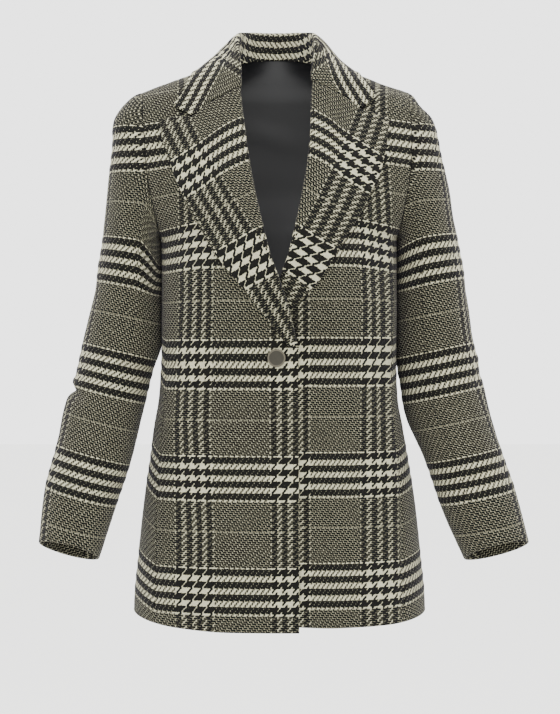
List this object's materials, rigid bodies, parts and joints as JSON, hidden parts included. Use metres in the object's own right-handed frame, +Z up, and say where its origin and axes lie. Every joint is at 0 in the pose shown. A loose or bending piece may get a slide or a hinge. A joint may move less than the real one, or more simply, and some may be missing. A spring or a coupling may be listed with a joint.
{
  "type": "tweed hacking jacket",
  "caption": "Hollow single-breasted tweed jacket in the form it takes when worn, with notched lapels and open sleeves.",
  "frame": {"origin": "in the middle between the wearer's shoulders, level with the collar seam at the front of the neck", "axes": "+Z up along the wearer's spine, the wearer faces -Y, and +X is the wearer's left"},
  "size_m": [0.668, 0.2518, 0.8338],
  "materials": {
    "tweed": "nubby woollen tweed in a cream and black glen check",
    "horn": "smooth olive grey with a low rim"
  },
  "bodies": {
    "root": {"back": "tweed", "front_right": "tweed", "front_left": "tweed", "side_right": "tweed", "side_left": "tweed", "sleeve_upper_right": "tweed", "sleeve_upper_left": "tweed", "sleeve_under_right": "tweed", "sleeve_under_left": "tweed", "lapel_right": "tweed", "lapel_left": "tweed", "collar": "tweed", "button": "horn"}
  },
  "joints": []
}
